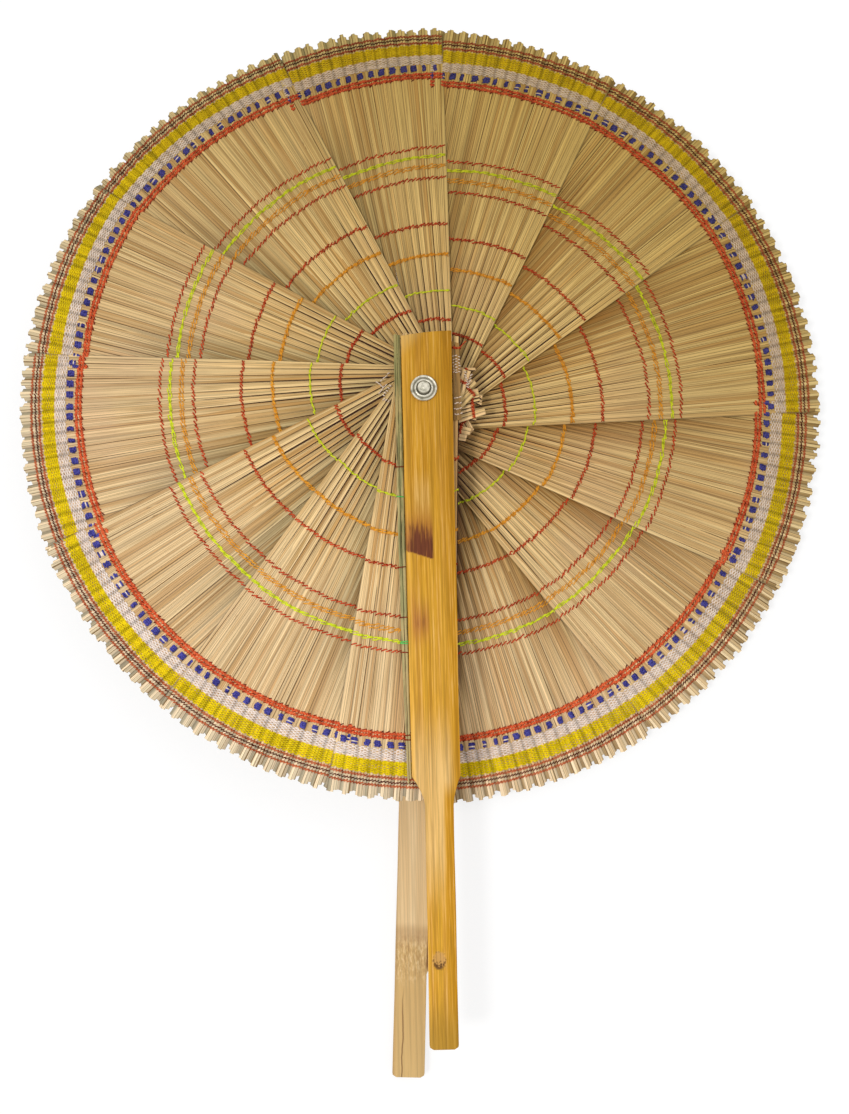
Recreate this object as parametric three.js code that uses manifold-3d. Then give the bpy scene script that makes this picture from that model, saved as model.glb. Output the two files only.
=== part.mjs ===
// A folding bamboo hand fan: a round pleated leaf of woven splints between two slats on one rivet.
// Millimetres. The fan lies open and flat, +Z is its front, the handles point to -Y,
// and the rivet's axis is the Z axis. Angles round the rivet are degrees clockwise from -Y,
// as they are seen from the front.
import * as THREE from 'three';
import { mergeVertices } from 'three/addons/utils/BufferGeometryUtils.js';
import Module from 'manifold-3d';

const wasm = await Module();
wasm.setup();

// The leaf is folded in sections, each one a level lower than the last going clockwise.
const sectionAngles = [16, 26, 28, 29, 27.5, 34, 25, 27, 28, 33.5, 27, 27.5, 34.5];
const startAngle = -2; // where the first section's hidden edge is at the rim
const leafRadius = 200; // rivet axis to the tips of the splints
const toothDepth = 3; // how far the low tips stand back from the high ones
const pleatAngle = 1.8; // what one fine pleat takes at the rim
const bundleWidth = 25; // width of a folded section where the rivet goes through it
const innerOverhang = 28; // splints past the rivet, on its far side
const overlapAngle = 0.6; // extra at each edge of a section, under or over its neighbour
const sheetThickness = 0.5; // at the rim
const bundleThickness = 1.6; // at the rivet, where the pleats are pressed flat on each other
const flatReach = 14; // the bundle stays flat this far past the rivet
const pleatHeight = 0.8; // fold to fold at the rim
const pleatStart = 100; // radius where the pleats begin to open

// The woven bands near the rim: the outer one yellow with brown edge rows, the inner one
// white with blue dashes and red edge rows.
const fringe = 7; // bare splint tips beyond the weave
const outerWeaveWidth = 11.4;
const innerWeaveWidth = 12.8;
const weaveThickness = 0.3;
const weaveGap = 0.2;

// Both slats are split from one culm, so they share its curve and thickness.
const culmRadius = 45;
const slatThickness = 4.7;
const slatWidth = 24.3;
const slatNarrowing = 0.9; // how much narrower a slat is at its shoulder than at the rivet
const slatTop = 28; // pivot end, past the rivet
const taperLength = 22; // from the slat's full width to the grip, ending at the leaf's rim
const slatCorner = 0.6;

const frontGrip = 110; // leaf's rim to the end of the front grip
const frontOffset = 2.5; // the rivet sits to one side of the front slat's middle
const frontNeckOffset = 3.3;
const frontEndOffset = 1.7;
const frontNeckWidth = 12.6;
const frontEndWidth = 13.2;
const budPlace = 70; // leaf's rim to the bud scar on the front grip
const budHeight = 0.7;
const budLength = 9;

const backGrip = 125.5; // leaf's rim to the end of the back grip
const backAngle = 2.6; // the back slat stands this far clockwise of the front one
const backNeckWidth = 14.2;
const backEndWidth = 14.6;
const nodePlace = 57; // leaf's rim to the culm's node on the back grip
const nodeLength = 12;

// The edge sticks that the leaf's first and last splints are tied to.
const stickWidth = 4;
const stickThickness = 2;
const stickGap = 0.4;
const stickInset = 5; // how far the sticks stop short of the splints' tips
const stickTop = 26.5; // past the rivet

// The rivet.
const pinRadius = 2.2;
const tailRadius = 4.5;
const pinEdge = 0.3; // softened edges of the tail and the head
const tailHeight = 1;
const headRadius = 3.1;
const headHeight = 1;
const washerRadius = 6.5;
const washerThickness = 0.9;
const washerRim = 0.9; // width of the raised rim of the washer
const washerRimHeight = 0.35;
const washerEdge = 0.2;

const fit = 0.3; // clearance between pieces that touch
const levelFit = 0.3; // between two leaf sections

const rad = THREE.MathUtils.degToRad;
const outerWeave = [leafRadius - fringe - outerWeaveWidth, leafRadius - fringe];
const innerWeave = [outerWeave[0] - fit - innerWeaveWidth, outerWeave[0] - fit];
const neck = leafRadius;
const shoulder = neck - taperLength;
const rimHeight = pleatHeight + sheetThickness + weaveGap + weaveThickness;
const levelPitch = Math.max(bundleThickness, rimHeight) + levelFit;
const backBottom = tailHeight + fit;
const leafBottom = backBottom + slatThickness + fit;
const frontBottom = leafBottom + sectionAngles.length * levelPitch;
const frontTop = frontBottom + slatThickness;
const stickPlace = slatWidth / 2 + stickGap + stickWidth / 2;
const washerBottom = frontTop + fit;
const headBottom = washerBottom + washerThickness + fit;

const bamboo = { roughness: 0.55, metalness: 0 };
const finishes = {
  skin: { color: 0xc8963a, ...bamboo },
  inner: { color: 0xd8bc8c, ...bamboo },
  painted: { color: 0x8d9268, ...bamboo },
  splint: { color: 0xc9a878, roughness: 0.7, metalness: 0 },
  yellow: { color: 0xd0bc20, roughness: 0.8, metalness: 0 },
  white: { color: 0xd8cabc, roughness: 0.8, metalness: 0 },
  metal: { color: 0xb8bab6, roughness: 0.35, metalness: 0.9 },
};

const fan = new THREE.Group();

function addPiece(parent, name, geometry, finish) {
  const mesh = new THREE.Mesh(geometry, new THREE.MeshStandardMaterial(finishes[finish]));
  mesh.name = name;
  parent.add(mesh);
  return mesh;
}

function meshOf(points, faces) {
  const geometry = new THREE.BufferGeometry();
  geometry.setAttribute('position', new THREE.Float32BufferAttribute(points.flat(), 3));
  geometry.setIndex(faces.flat());
  return geometry;
}

function solidOf(geometry) {
  const bare = geometry.clone();
  bare.deleteAttribute('normal');
  bare.deleteAttribute('uv');
  const merged = mergeVertices(bare, 1e-4);
  return new wasm.Manifold(new wasm.Mesh({
    numProp: 3,
    vertProperties: new Float32Array(merged.attributes.position.array),
    triVerts: new Uint32Array(merged.index.array),
  }));
}

function geometryOf(solid) {
  const mesh = solid.getMesh();
  const geometry = new THREE.BufferGeometry();
  geometry.setAttribute('position', new THREE.Float32BufferAttribute(mesh.vertProperties, 3));
  geometry.setIndex(Array.from(mesh.triVerts));
  return geometry;
}

// Cuts the rivet's hole along Z, from below the given piece to above it.
function drillForPin(geometry) {
  const depth = frontTop * 4;
  const drill = new THREE.CylinderGeometry(pinRadius + fit, pinRadius + fit, depth, 20);
  drill.rotateX(Math.PI / 2);
  return geometryOf(solidOf(geometry).subtract(solidOf(drill)));
}

// Joins the rings of a row of stations into one closed body, capped at both ends.
function loft(rings) {
  const points = rings.flat();
  const size = rings[0].length;
  const faces = [];
  for (let i = 0; i + 1 < rings.length; i++) {
    for (let j = 0; j < size; j++) {
      const a = i * size + j;
      const b = i * size + (j + 1) % size;
      faces.push([a, b, b + size], [a, b + size, a + size]);
    }
  }
  const last = (rings.length - 1) * size;
  for (let j = 1; j + 1 < size; j++) {
    faces.push([0, j + 1, j], [last, last + j, last + j + 1]);
  }
  return meshOf(points, faces);
}

// One ring of a slat: a flat inner face at z = 0 and the culm's curved skin above it.
// lift raises the skin where a node or a bud stands out.
function slatRing({ y, middle, width, lift }) {
  const half = width / 2;
  const steps = 5;
  const skin = (x) => slatThickness - (x * x) / (2 * culmRadius) + lift;
  const ring = [[middle + half, y, 0]];
  ring.push([middle + half, y, skin(half) - slatCorner]);
  for (let i = 0; i <= steps; i++) {
    const x = (half - slatCorner) * (1 - 2 * i / steps);
    ring.push([middle + x, y, skin(x)]);
  }
  ring.push([middle - half, y, skin(half) - slatCorner]);
  ring.push([middle - half, y, 0]);
  return ring;
}

// The outline of a slat, from its pivot end down to the end of its grip.
function slatStations({ length, offset, neckOffset, endOffset, neckWidth, endWidth, bump }) {
  const mix = THREE.MathUtils.lerp;
  const distances = [-slatTop, 0, shoulder];
  const taperSteps = 6;
  for (let i = 1; i <= taperSteps; i++) {
    distances.push(mix(shoulder, neck, i / taperSteps));
  }
  distances.push(bump.at - bump.length / 2, bump.at - bump.length / 6);
  distances.push(bump.at + bump.length / 6, bump.at + bump.length / 2, length);
  return distances.map((d) => {
    const taper = THREE.MathUtils.smoothstep(d, shoulder, neck);
    const toShoulder = (d + slatTop) / (shoulder + slatTop);
    const toEnd = (d - neck) / (length - neck);
    const wide = slatWidth - slatNarrowing * Math.min(toShoulder, 1);
    const narrow = mix(neckWidth, endWidth, Math.max(toEnd, 0));
    const gripMiddle = mix(neckOffset, endOffset, Math.max(toEnd, 0));
    return {
      y: -d,
      middle: mix(offset, gripMiddle, taper),
      width: mix(wide, narrow, taper),
      lift: Math.abs(d - bump.at) < bump.length / 3 ? bump.height : 0,
    };
  });
}

function frontSlat() {
  const rings = slatStations({
    length: neck + frontGrip,
    offset: frontOffset,
    neckOffset: frontNeckOffset,
    endOffset: frontEndOffset,
    neckWidth: frontNeckWidth,
    endWidth: frontEndWidth,
    bump: { at: neck + budPlace, length: budLength, height: budHeight },
  }).map(slatRing);
  return drillForPin(loft(rings));
}

// The back slat lies skin down, so its stations are turned over. Its node reaches down
// as far as the rivet's tail, so that the fan stands level on both.
function backSlat() {
  const rings = slatStations({
    length: neck + backGrip,
    offset: 0,
    neckOffset: 0,
    endOffset: 0,
    neckWidth: backNeckWidth,
    endWidth: backEndWidth,
    bump: { at: neck + nodePlace, length: nodeLength, height: backBottom },
  }).map(slatRing);
  const geometry = drillForPin(loft(rings));
  geometry.rotateY(Math.PI);
  return geometry;
}

// A splint of a section that points to -Y. side runs from -1 at the edge that is
// counter-clockwise to 1 at the clockwise edge, and reach is measured from the rivet.
function splintPoint(section, side, reach) {
  const x = -side * bundleWidth / 2 - reach * Math.sin(side * section.spread);
  const y = -reach * Math.cos(side * section.spread);
  return [x, y];
}

// How far along a splint the circle of this radius round the rivet crosses it.
function reachAt(section, side, radius) {
  const along = side * (bundleWidth / 2) * Math.sin(side * section.spread);
  const across = (side * bundleWidth / 2) ** 2 - along ** 2;
  return Math.sqrt(radius ** 2 - across) - along;
}

// Height of the sheet's middle and its thickness, at a fold line of a section.
function sheetAt(section, fold, side, reach) {
  const rim = reachAt(section, side, leafRadius);
  const open = THREE.MathUtils.clamp((reach - pleatStart) / (rim - pleatStart), 0, 1);
  const thin = THREE.MathUtils.clamp((reach - flatReach) / (pleatStart - flatReach), 0, 1);
  const sign = fold % 2 ? 1 : -1;
  return {
    middle: pleatHeight / 2 + sheetThickness / 2 + sign * open * pleatHeight / 2,
    thickness: THREE.MathUtils.lerp(bundleThickness, sheetThickness, thin),
  };
}

// A closed body between an upper and a lower grid, both given as rows of points.
function slab(upper, lower) {
  const rows = upper.length;
  const columns = upper[0].length;
  const points = [...upper.flat(), ...lower.flat()];
  const below = rows * columns;
  const at = (i, j) => i * columns + j;
  const faces = [];
  const quad = (a, b, c, d) => faces.push([a, b, c], [a, c, d]);
  for (let i = 0; i + 1 < rows; i++) {
    for (let j = 0; j + 1 < columns; j++) {
      const [a, b, c, d] = [at(i, j), at(i, j + 1), at(i + 1, j + 1), at(i + 1, j)];
      quad(a, b, c, d);
      quad(below + d, below + c, below + b, below + a);
    }
  }
  for (let j = 0; j + 1 < columns; j++) {
    const [a, b] = [at(0, j), at(0, j + 1)];
    const [c, d] = [at(rows - 1, j), at(rows - 1, j + 1)];
    quad(b, a, below + a, below + b);
    quad(c, d, below + d, below + c);
  }
  for (let i = 0; i + 1 < rows; i++) {
    const [a, b] = [at(i, 0), at(i + 1, 0)];
    const [c, d] = [at(i, columns - 1), at(i + 1, columns - 1)];
    quad(a, b, below + b, below + a);
    quad(d, c, below + c, below + d);
  }
  return meshOf(points, faces);
}

// Fold lines of a section from its hidden edge to its clockwise edge.
function foldsOf(section) {
  const count = 2 * section.pleats;
  return Array.from({ length: count + 1 }, (_, fold) => ({ fold, side: 2 * fold / count - 1 }));
}

function leafSheet(section) {
  const folds = foldsOf(section);
  const rowOf = (reachFor, face) => folds.map(({ fold, side }) => {
    const reach = reachFor(fold, side);
    const sheet = sheetAt(section, fold, side, reach);
    const base = Math.max(sheet.middle, sheet.thickness / 2);
    return [...splintPoint(section, side, reach), base + face * sheet.thickness / 2];
  });
  const tip = (fold, side) => {
    const stepped = fold % 2 ? leafRadius : leafRadius - toothDepth;
    return reachAt(section, side, stepped);
  };
  const reaches = [() => -innerOverhang, () => flatReach, () => pleatStart, tip];
  const upper = reaches.map((reachFor) => rowOf(reachFor, 1));
  const lower = reaches.map((reachFor) => rowOf(reachFor, -1));
  return drillForPin(slab(upper, lower));
}

// A woven band lies on the sheet as a skin, between two radii.
function weaveSkin(section, radii) {
  const folds = foldsOf(section);
  const rowOf = (radius, rise) => folds.map(({ fold, side }) => {
    const reach = reachAt(section, side, radius);
    const sheet = sheetAt(section, fold, side, reach);
    const top = sheet.middle + sheet.thickness / 2;
    return [...splintPoint(section, side, reach), top + weaveGap + rise];
  });
  const upper = radii.map((radius) => rowOf(radius, weaveThickness));
  const lower = radii.map((radius) => rowOf(radius, 0));
  return slab(upper, lower);
}

// A plain stick along -Y with softly bevelled upper edges.
function edgeStick() {
  const half = stickWidth / 2;
  const bevel = stickThickness / 4;
  const ring = (y) => [
    [half, y, 0],
    [half, y, stickThickness - bevel],
    [half - bevel, y, stickThickness],
    [bevel - half, y, stickThickness],
    [-half, y, stickThickness - bevel],
    [-half, y, 0],
  ];
  return loft([ring(stickTop), ring(stickInset - leafRadius)]);
}

// A profile of [radius, height] pairs turned round the Z axis.
function turned(profile, segments) {
  const geometry = new THREE.LatheGeometry(profile.map(([r, z]) => new THREE.Vector2(r, z)), segments);
  geometry.rotateX(Math.PI / 2);
  return geometry;
}

function rivetPin() {
  const headTop = headBottom + headHeight;
  return turned([
    [0, 0],
    [tailRadius - pinEdge, 0],
    [tailRadius, pinEdge],
    [tailRadius, tailHeight],
    [pinRadius, tailHeight],
    [pinRadius, headBottom],
    [headRadius, headBottom],
    [headRadius, headTop - pinEdge],
    [headRadius - pinEdge, headTop],
    [headRadius / 2, headTop],
    [0, headTop + pinEdge],
  ], 28);
}

function frontWasher() {
  const bottom = washerBottom;
  const top = washerBottom + washerThickness - washerRimHeight;
  const hole = pinRadius + fit;
  return turned([
    [hole, bottom],
    [washerRadius - washerEdge, bottom],
    [washerRadius, bottom + washerEdge],
    [washerRadius, top + washerRimHeight - washerEdge],
    [washerRadius - washerEdge, top + washerRimHeight],
    [washerRadius - washerRim, top + washerRimHeight],
    [washerRadius - washerRim - washerEdge, top],
    [hole, top],
    [hole, bottom],
  ], 36);
}

// The leaf, section by section, each turned to its own angle at its own level.
let edgeAngle = startAngle;
sectionAngles.forEach((angle, index) => {
  const number = String(index + 1).padStart(2, '0');
  const halfAngle = rad(angle / 2 + overlapAngle);
  const section = {
    pleats: Math.round((angle + 2 * overlapAngle) / pleatAngle),
    spread: halfAngle - Math.asin(bundleWidth / 2 / leafRadius),
  };
  const group = new THREE.Group();
  group.rotation.z = -rad(edgeAngle + angle / 2);
  group.position.z = leafBottom + (sectionAngles.length - 1 - index) * levelPitch;
  addPiece(group, `leaf_section_${number}`, leafSheet(section), 'splint');
  addPiece(group, `yellow_weave_${number}`, weaveSkin(section, outerWeave), 'yellow');
  addPiece(group, `white_weave_${number}`, weaveSkin(section, innerWeave), 'white');
  fan.add(group);
  edgeAngle += angle;
});

const front = new THREE.Group();
front.position.z = frontBottom;
addPiece(front, 'front_guard', frontSlat(), 'skin');
const startStick = addPiece(front, 'leaf_start_stick', edgeStick(), 'painted');
startStick.position.x = frontOffset - stickPlace;
fan.add(front);

const back = new THREE.Group();
back.position.z = backBottom + slatThickness;
back.rotation.z = -rad(backAngle);
addPiece(back, 'back_guard', backSlat(), 'inner');
const endStick = addPiece(back, 'leaf_end_stick', edgeStick(), 'inner');
endStick.position.set(stickPlace, 0, -stickThickness);
fan.add(back);

addPiece(fan, 'rivet_pin', rivetPin(), 'metal');
addPiece(fan, 'front_washer', frontWasher(), 'metal');

fan.updateMatrixWorld(true);

export default fan;
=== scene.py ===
import math
import random

import bmesh
import bpy
from mathutils import Matrix, Vector, kdtree, noise


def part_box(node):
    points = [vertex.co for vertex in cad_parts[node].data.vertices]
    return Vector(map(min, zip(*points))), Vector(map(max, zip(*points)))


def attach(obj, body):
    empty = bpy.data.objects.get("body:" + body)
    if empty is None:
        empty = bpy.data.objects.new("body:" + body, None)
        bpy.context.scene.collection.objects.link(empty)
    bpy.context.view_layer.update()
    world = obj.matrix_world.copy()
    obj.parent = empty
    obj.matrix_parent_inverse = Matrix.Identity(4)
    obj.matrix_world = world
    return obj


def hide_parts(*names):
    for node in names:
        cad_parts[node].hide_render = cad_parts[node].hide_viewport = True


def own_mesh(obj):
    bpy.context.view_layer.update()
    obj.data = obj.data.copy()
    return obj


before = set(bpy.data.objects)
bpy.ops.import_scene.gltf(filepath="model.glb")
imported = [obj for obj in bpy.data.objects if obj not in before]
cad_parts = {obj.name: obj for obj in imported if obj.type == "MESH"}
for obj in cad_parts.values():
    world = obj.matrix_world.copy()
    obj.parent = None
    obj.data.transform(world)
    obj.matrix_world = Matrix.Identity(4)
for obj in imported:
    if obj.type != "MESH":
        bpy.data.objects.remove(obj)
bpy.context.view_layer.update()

# A folding bamboo hand fan, opened full circle and lying on its back slat. Metres.
# Angles round the rivet are degrees clockwise from -Y, as they are seen from the front.
mm = 0.001
dice = random.Random(7)
scene = bpy.context.scene


def smooth(low, high, value):
    share = min(max((value - low) / (high - low), 0), 1)
    return share * share * (3 - 2 * share)


def blend(a, b, share):
    return a + (b - a) * share


# A colour as it is picked on a screen, 0 to 255, for a shader's socket.
def tint(red, green, blue):
    shares = [c / 255 for c in (red, green, blue)]
    linear = [((c + 0.055) / 1.055) ** 2.4 if c > 0.04 else c / 12.92 for c in shares]
    return (*linear, 1)


# A dictionary whose values can also be read as table.name.
class Table(dict):
    __getattr__ = dict.__getitem__
    __setattr__ = dict.__setitem__


def tints(**colours):
    return {name: tint(*colour) for name, colour in colours.items()}


# Sizes given in mm, by name. A pair stays a pair.
def inMetres(**sizes):
    def metres(size):
        return tuple(metres(s) for s in size) if isinstance(size, tuple) else size * mm
    return Table({name: metres(size) for name, size in sizes.items()})


# Materials

# A shader socket that can be added, scaled and compared in plain expressions.
class Wire:
    def __init__(self, finish, socket):
        self.finish, self.socket = finish, socket

    def math(self, operation, *values):
        return self.finish.node("Math", {"operation": operation}, dict(enumerate(values)))

    def __add__(self, other):
        return self.math("ADD", self, other)

    def __radd__(self, other):
        return self.math("ADD", other, self)

    def __sub__(self, other):
        return self.math("SUBTRACT", self, other)

    def __rsub__(self, other):
        return self.math("SUBTRACT", other, self)

    def __mul__(self, other):
        return self.math("MULTIPLY", self, other)

    def __abs__(self):
        return self.math("ABSOLUTE", self)

    # 0 below low, 1 above high, eased between. fall is its opposite.
    def rise(self, low, high):
        inputs = {"Value": self, "From Min": low, "From Max": high}
        return self.finish.node("MapRange", {"interpolation_type": "SMOOTHSTEP"}, inputs)

    def fall(self, low, high):
        return 1 - self.rise(low, high)

    # 1 inside a range, eased over soft at both ends.
    def within(self, low, high, soft):
        return self.rise(low - soft, low + soft) * self.fall(high - soft, high + soft)

    def part(self, axis):
        return self.finish.node("SeparateXYZ", inputs={0: self}, output=axis)

    def length(self):
        return self.finish.vector("LENGTH", self, output="Value")


# A material under way. Its colour is laid on coat by coat, each named as in its look.
class Finish:
    def __init__(self, name, look=None, owner=None, shader="Principled BSDF", **fixed):
        self.look = look or {}
        self.material = owner or bpy.data.materials.new(name)
        self.material.use_nodes = True
        self.tree = self.material.node_tree
        self.shader = self.tree.nodes[shader]
        for socket, value in fixed.items():
            self.shader.inputs[socket.replace("_", " ")].default_value = value

    # Adds a node: its settings first, then the values or links of its sockets.
    def node(self, kind, settings=None, inputs=None, output=0):
        made = self.tree.nodes.new(f"ShaderNode{kind}")
        for name, value in (settings or {}).items():
            setattr(made, name, value)
        for name, value in (inputs or {}).items():
            if isinstance(value, Wire):
                self.tree.links.new(value.socket, made.inputs[name])
            else:
                made.inputs[name].default_value = value
        return Wire(self, made.outputs[output])

    def vector(self, operation, *values, output=0):
        inputs = dict(enumerate(values))
        return self.node("VectorMath", {"operation": operation}, inputs, output)

    def place(self, stretch=(1, 1, 1), turn=0, origin=(0, 0, 0)):
        point = self.node("TexCoord", output="Object")
        inputs = {"Vector": point, "Location": origin, "Rotation": (0, 0, turn), "Scale": stretch}
        return self.node("Mapping", {"vector_type": "POINT"}, inputs)

    def strip(self, stretch):
        return self.vector("MULTIPLY", self.node("UVMap", {"uv_map": "strip"}), stretch)

    def noise(self, vector, scale, detail=3, roughness=0.5):
        inputs = {"Vector": vector, "Scale": scale, "Detail": detail, "Roughness": roughness}
        return self.node("TexNoise", None, inputs)

    # Noise drawn out along one axis, like the fibres of the bamboo.
    def grain(self, stretch, detail=3, roughness=0.5, turn=0):
        return self.noise(self.place(stretch, turn), 1, detail, roughness)

    def attribute(self, name):
        return self.node("Attribute", {"attribute_name": name}, output="Fac")

    def mix(self, share, first, second, mode="MIX"):
        settings = {"data_type": "RGBA", "blend_type": mode, "clamp_factor": True}
        first, second = (self.look.get(c, c) for c in (first, second))
        return self.node("Mix", settings, {0: share, 6: first, 7: second}, 2)

    def coat(self, share, colour, mode="MIX"):
        self.colour = self.mix(share, self.colour, colour, mode)

    def shade(self, strength):
        grey = self.node("CombineXYZ", inputs={0: strength, 1: strength, 2: strength})
        self.colour = self.vector("MULTIPLY", self.colour, grey)

    def bump(self, height, distance, strength):
        inputs = {"Height": height, "Distance": distance, "Strength": strength}
        return self.node("Bump", None, inputs)

    # Painted light falloff: the whole fan is painted duller and yellower towards its upper right,
    # away from the light.
    def paintedFalloff(self, kind="bamboo"):
        along = self.vector("DOT_PRODUCT", self.place(), falloffTints.toward, output="Value")
        share = along.rise(-falloffTints.reach, falloffTints.reach)
        return self.mix(share, self.colour, falloffTints[kind], "MULTIPLY")

    # 1 for the rays that show the background: seen, mirrored or through glass.
    def backgroundRays(self):
        camera, glossy, through = (
            self.node("LightPath", output=f"Is {kind} Ray")
            for kind in ("Camera", "Glossy", "Transmission")
        )
        return camera.math("MAXIMUM", camera.math("MAXIMUM", camera, glossy), through)

    def use(self, **links):
        for socket, wire in links.items():
            self.tree.links.new(wire.socket, self.shader.inputs[socket.replace("_", " ")])
        return self.material

    def done(self, colour, roughness, *bump):
        return self.use(Base_Color=colour, Roughness=roughness, Normal=self.bump(*bump))


# Tints of the painted light falloff, and the direction and distance over which it comes in.
falloffTints = Table(
    tints(bamboo=(197, 188, 133), thread=(196, 184, 160)),
    toward=(0.5, 0.866, 0), reach=200 * mm,
)
splintLook = tints(
    pale=(238, 205, 152), tan=(204, 158, 98), olive=(178, 140, 78), pink=(216, 177, 138),
    ends=(248, 208, 168),  # of the short ends past the rivet
    haze=(206, 192, 170),  # mixed in towards the rim
    fringe=(255, 233, 198),
    # Painted shadows: these multiply the colour beside the section that lies on top, and beside the
    # slat.
    dim=(206, 212, 212), dimWarm=(206, 190, 162), shadow=(114, 64, 38),
    # Painted shade in the gaps between splints: near the rivet, and paler towards the rim.
    gap=(58, 28, 6), rimGap=(132, 104, 66),
)
# Radii between which the haze, the fringe's colour and the paler gaps come in.
splintRadii = inMetres(haze=(75, 130), fringe=(184, 192), gap=(110, 185))
splintFibres = (9, 5, 1)  # grain lines to a metre along a splint, and across it


# Split bamboo: each splint with its own tone, fine fibres and, near the rivet, a dark gap painted for
# the shade between splints.
def splintFinish():
    finish = Finish("split_bamboo_splints", splintLook, IOR=1.45, Specular_IOR_Level=0.2)
    tone, ridge, dim, gap = (finish.attribute(name) for name in ("tone", "ridge", "dim", "gap"))
    place = finish.place()
    patches = finish.noise(place, 16)
    fibres = finish.noise(finish.strip(splintFibres), 1, 4, 0.6)
    long = finish.noise(finish.strip((30, 0.6, 1)), 1, 2)
    across = finish.strip((1, 1, 1)).part("Y")
    across = across.math("FRACT", across)
    radius = finish.place((1, 1, 0)).length()
    finish.colour = finish.mix((tone * 0.75 + patches * 0.5).rise(0.2, 0.95), "tan", "pale")
    finish.coat(long.rise(0.5, 0.75) * 0.55, "olive")
    finish.coat(patches.rise(0.52, 0.72) * 0.5, "pink")
    finish.coat(tone.rise(1.05, 1.4) * 0.6, "ends")

    # Painted shade in the low folds and a painted highlight on the high ones, paler on the bare ends,
    # with a dark line at each splint's edges, partly dirt and partly painted shade between the
    # splints. Near the rim the low folds get more painted shade.
    paintedFoldShading = ridge.rise(0.03, 0.18) * 0.3 + ridge.rise(0, 0.4) * 0.13 + ridge.rise(0.8, 1) * 0.14
    finish.shade(paintedFoldShading + 0.61)
    finish.coat(radius.rise(*splintRadii.haze) * 0.16, "haze")
    rim = radius.rise(*splintRadii.fringe)
    finish.coat(rim * 0.7, "fringe")
    finish.shade(0.75 + fibres.rise(0.36, 0.64) * 0.54)
    finish.shade(1 - (abs(across - 0.5) * 2).rise(0.68, 1) * 0.5)
    finish.shade(1 - rim * ridge.fall(0.1, 0.7) * 0.35)

    # Painted shadows of what lies on top, and painted shade in the gaps between splints.
    cast = finish.mix(place.part("X").rise(-0.03, 0.05), "dim", "dimWarm")
    finish.coat(dim, cast, "MULTIPLY")
    finish.coat(dim - 1, "shadow", "MULTIPLY")
    depth = finish.mix(radius.rise(*splintRadii.gap), "gap", "rimGap")
    finish.coat((gap - across).rise(0, 0.04) * gap.rise(0, 0.12), depth)
    return finish.done(finish.paintedFalloff(), 0.5 + fibres * 0.2, fibres, 0.05 * mm, 0.6)


# Painted ribs of light and shade across a band, for the relief of its weave: how many to a radian,
# how many to a metre outwards, and how strong.
threadRibs = {"yellow": (150, 40, 0.2), "white": (26, 900, 0.14)}


# Thread, with the light and dark of its twist, and painted shade where the leaf folds down.
def threadFinish(name, colour, darker):
    look = tints(colour=colour, darker=darker)
    finish = Finish(f"{name}_thread", look, Roughness=0.6, Specular_IOR_Level=0.12)
    twist = finish.noise(finish.place(), 1400, 2)
    wear = finish.noise(finish.place(), 70)
    finish.colour = finish.mix((twist * 0.7 + wear * 0.3).rise(0.35, 0.6), "darker", "colour")
    # Painted shade in the low folds of the leaf.
    finish.shade(0.7 + finish.attribute("ridge").rise(0, 0.5) * 0.36)
    # Painted light and shade of the weave's ribs.
    if name in threadRibs:
        around, outward, strength = threadRibs[name]
        place = finish.place((1, 1, 0))
        x, y = place.part("X"), place.part("Y")
        along = {0: x.math("ARCTAN2", x, y) * around, 1: place.length() * outward}
        ribs = finish.noise(finish.node("CombineXYZ", None, along), 1, 2, 0.6)
        finish.shade(1 - strength + ribs.rise(0.36, 0.62) * strength * 1.6)
    return finish.use(Base_Color=finish.paintedFalloff("thread"), Normal=finish.bump(twist, 0.1 * mm, 0.5))


skinLook = tints(
    honey=(216, 160, 46), amber=(192, 134, 14), straw=(218, 168, 92), beige=(224, 184, 118),
    worn=(226, 186, 122), side=(226, 170, 66), end=(168, 126, 40),
    scorch=(88, 34, 26), scorchRed=(160, 92, 54), knot=(204, 156, 92), pit=(92, 58, 26),
)
# The scorch marks of the front slat: a dark one, a faint one and a trace. In mm across
# and down, each as from, to, and how soft.
scorches = [
    Table(across=(-12, 3.4, 0.9), down=(54, 76), end=(81.6, 83.4), slant=0.36),
    Table(across=(-5.8, 1, 1.4), down=(108, 121, 8)),
    Table(across=(-8.6, -6.6, 0.8), down=(98, 122, 8)),
]
bud = inMetres(x=0.4, down=270.4, wide=2.9, high=4, depth=0.4)


# Streaky along the fibres. The dark mark ends at a sharp slanted line.
def addScorches(finish, across, down, streaks, fibres):
    dark, faint, trace = scorches
    first = (across + streaks * 1.6).within(*dark.across) * down.rise(*dark.down)
    first = first * (down - across * dark.slant - fibres * 2).fall(*dark.end)
    second = (across + streaks * 3).within(*faint.across) * down.within(*faint.down)
    third = across.within(*trace.across) * down.within(*trace.down)
    coarse = finish.grain((900, 60, 60), 3, 0.6)
    deep = (coarse + down.rise(60, 78) * 0.3 + across.rise(-11, -7) * 0.1).rise(0.62, 0.9)
    deep = deep * first.rise(0.2, 0.8)
    finish.coat(first * 0.72 + second * (0.3 + coarse * 0.7) + third * 0.3, "scorchRed")
    finish.coat(deep * 0.85 + (second * coarse).rise(0.4, 0.65) * 0.35, "scorch")


# A pale knot with a darker rim, and pits at its lower end.
def addBudScar(finish, down):
    x, y, wide, high = (bud[k] / mm for k in ("x", "down", "wide", "high"))
    offset = finish.place((1 / (wide * mm), 1 / (high * mm), 0), 0, (-x / wide, y / high, 0))
    reach = offset.length() + finish.noise(finish.place(), 700) * 0.5
    specks = finish.noise(finish.place((1, 0.6, 1)), 1300)
    finish.coat(reach.fall(1, 1.4) * 0.75, "knot")
    rim = reach.within(1, 1.36, 0.16) * (specks + (down - y) * 0.04).rise(0.4, 0.62)
    finish.coat(rim * 0.75, "pit")
    pits = reach.fall(1, 1.3) * (specks + (down - y) * 0.07).rise(0.58, 0.7)
    finish.coat(pits * 0.9, "pit")


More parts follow.
